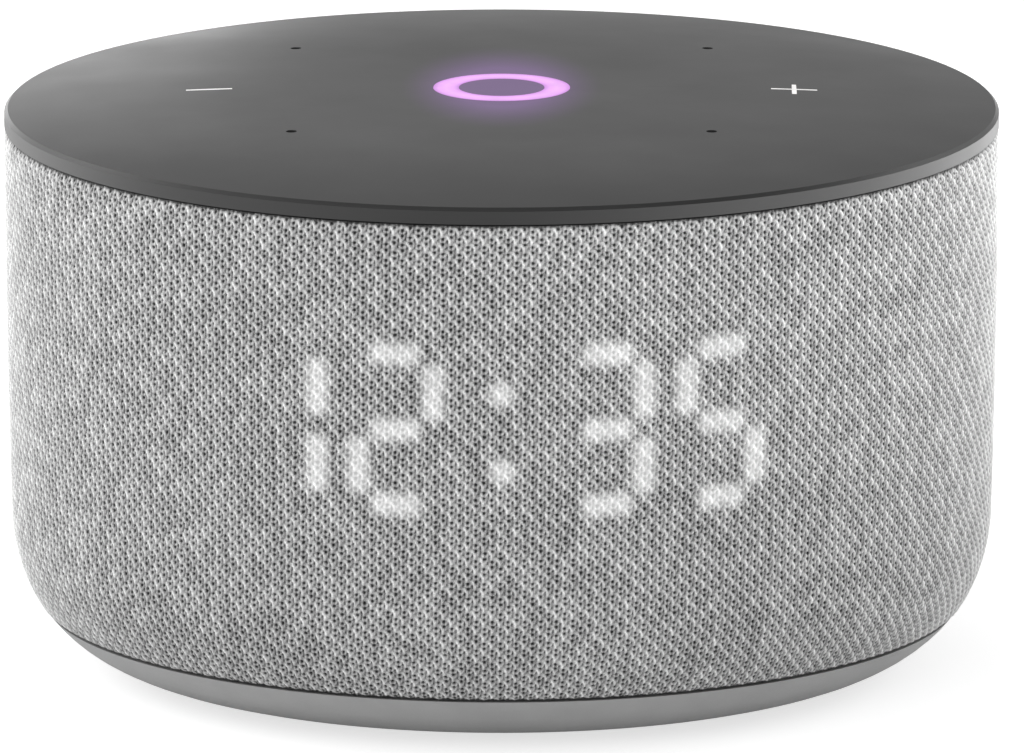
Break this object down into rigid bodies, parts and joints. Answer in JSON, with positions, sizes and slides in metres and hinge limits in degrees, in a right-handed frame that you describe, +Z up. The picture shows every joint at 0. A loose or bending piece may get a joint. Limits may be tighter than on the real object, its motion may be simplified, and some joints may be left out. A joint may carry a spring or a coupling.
{
  "type": "smart speaker",
  "caption": "Compact round tabletop speaker with a domed touch top, a lit ring, a clock display behind a knitted sleeve, a moulded base, and a rear port and mute slider.",
  "frame": {"origin": "centre of the footprint, on the surface that the speaker stands on", "axes": "+Z up, -Y towards the clock display, +Y towards the port panel, +X to the right seen from the front"},
  "size_m": [0.1, 0.1, 0.0585],
  "materials": {
    "cap": "fine satin texture",
    "ring_light": "lit light guide",
    "mark_light": "lit light guide",
    "knit": "knitted",
    "grille_plastic": "moulded",
    "base_plastic": "fine moulded texture",
    "pad_rubber": "matte",
    "bezel_plastic": "satin",
    "slider_plastic": "satin",
    "steel": "plated",
    "black_plastic": "moulded",
    "white_plastic": "moulded",
    "circuit_board": "solder resist",
    "led_package": "moulded",
    "soft_seal": "closed-cell foam",
    "aluminium": "extruded",
    "box_plastic": "moulded",
    "magnet": "ground ferrite",
    "zinc_steel": "zinc plated",
    "cone_paper": "pressed paper",
    "copper": "wound",
    "surround_rubber": "moulded",
    "spider_cloth": "resin-treated weave",
    "film": "diffusing film",
    "ribbon_film": "flexible film"
  },
  "bodies": {
    "housing": {"top_panel": "cap", "light_ring": "ring_light", "minus_mark": "mark_light", "plus_mark": "mark_light", "fabric_sleeve": "knit", "grille_body": "grille_plastic", "fabric_hoop": "grille_plastic", "base_cover": "base_plastic", "foot_pad": "pad_rubber", "base_screws": "zinc_steel", "port_bezel": "bezel_plastic", "port_board": "circuit_board", "usb_c_receptacle": "steel", "usb_c_tongue": "black_plastic", "mute_switch": "steel", "touch_board": "circuit_board", "mic_capsules": "steel", "mic_gaskets": "soft_seal", "ring_leds": "led_package", "ring_light_housing": "white_plastic", "mark_leds": "led_package", "main_board": "circuit_board", "processor_shield": "steel", "heat_spreader": "aluminium", "board_components": "black_plastic", "wifi_antennas": "steel", "board_screws": "zinc_steel", "speaker_box": "box_plastic", "box_gasket": "soft_seal", "box_lid": "box_plastic", "box_screws": "zinc_steel", "driver_frame": "zinc_steel", "driver_top_plate": "zinc_steel", "driver_magnet": "magnet", "driver_back_plate": "zinc_steel", "driver_surround": "surround_rubber", "driver_spider": "spider_cloth", "driver_screws": "zinc_steel", "sound_deflector": "box_plastic", "display_board": "circuit_board", "display_leds": "led_package", "display_reflector": "white_plastic", "display_diffuser": "film", "display_ribbon": "ribbon_film", "port_ribbon": "ribbon_film", "touch_ribbon": "ribbon_film", "left_radiator_frame": "box_plastic", "left_radiator_surround": "surround_rubber", "right_radiator_frame": "box_plastic", "right_radiator_surround": "surround_rubber"},
    "driver_cone_group": {"driver_cone": "cone_paper", "dust_cap": "cone_paper", "voice_coil": "copper"},
    "left_radiator": {"left_radiator_plate": "zinc_steel"},
    "right_radiator": {"right_radiator_plate": "zinc_steel"},
    "mute_slider_group": {"mute_slider": "slider_plastic", "mute_switch_lever": "black_plastic"}
  },
  "joints": [
    {"name": "driver_cone_travel", "type": "slide", "parent": "housing", "child": "driver_cone_group", "axis": [0, 0, 1], "range_m": [-0.0015, 0.0015], "stiffness_N_per_m": 1500, "deforming": ["driver_surround", "driver_spider"]},
    {"name": "left_radiator_travel", "type": "slide", "parent": "housing", "child": "left_radiator", "axis": [1, 0, 0], "range_m": [-0.002, 0.002], "stiffness_N_per_m": 800, "deforming": ["left_radiator_surround"]},
    {"name": "right_radiator_travel", "type": "slide", "parent": "housing", "child": "right_radiator", "axis": [1, 0, 0], "range_m": [-0.002, 0.002], "stiffness_N_per_m": 800, "deforming": ["right_radiator_surround"]},
    {"name": "mute_slider_travel", "type": "slide", "parent": "housing", "child": "mute_slider_group", "axis": [1, 0, 0], "range_m": [0, 0.002]}
  ]
}
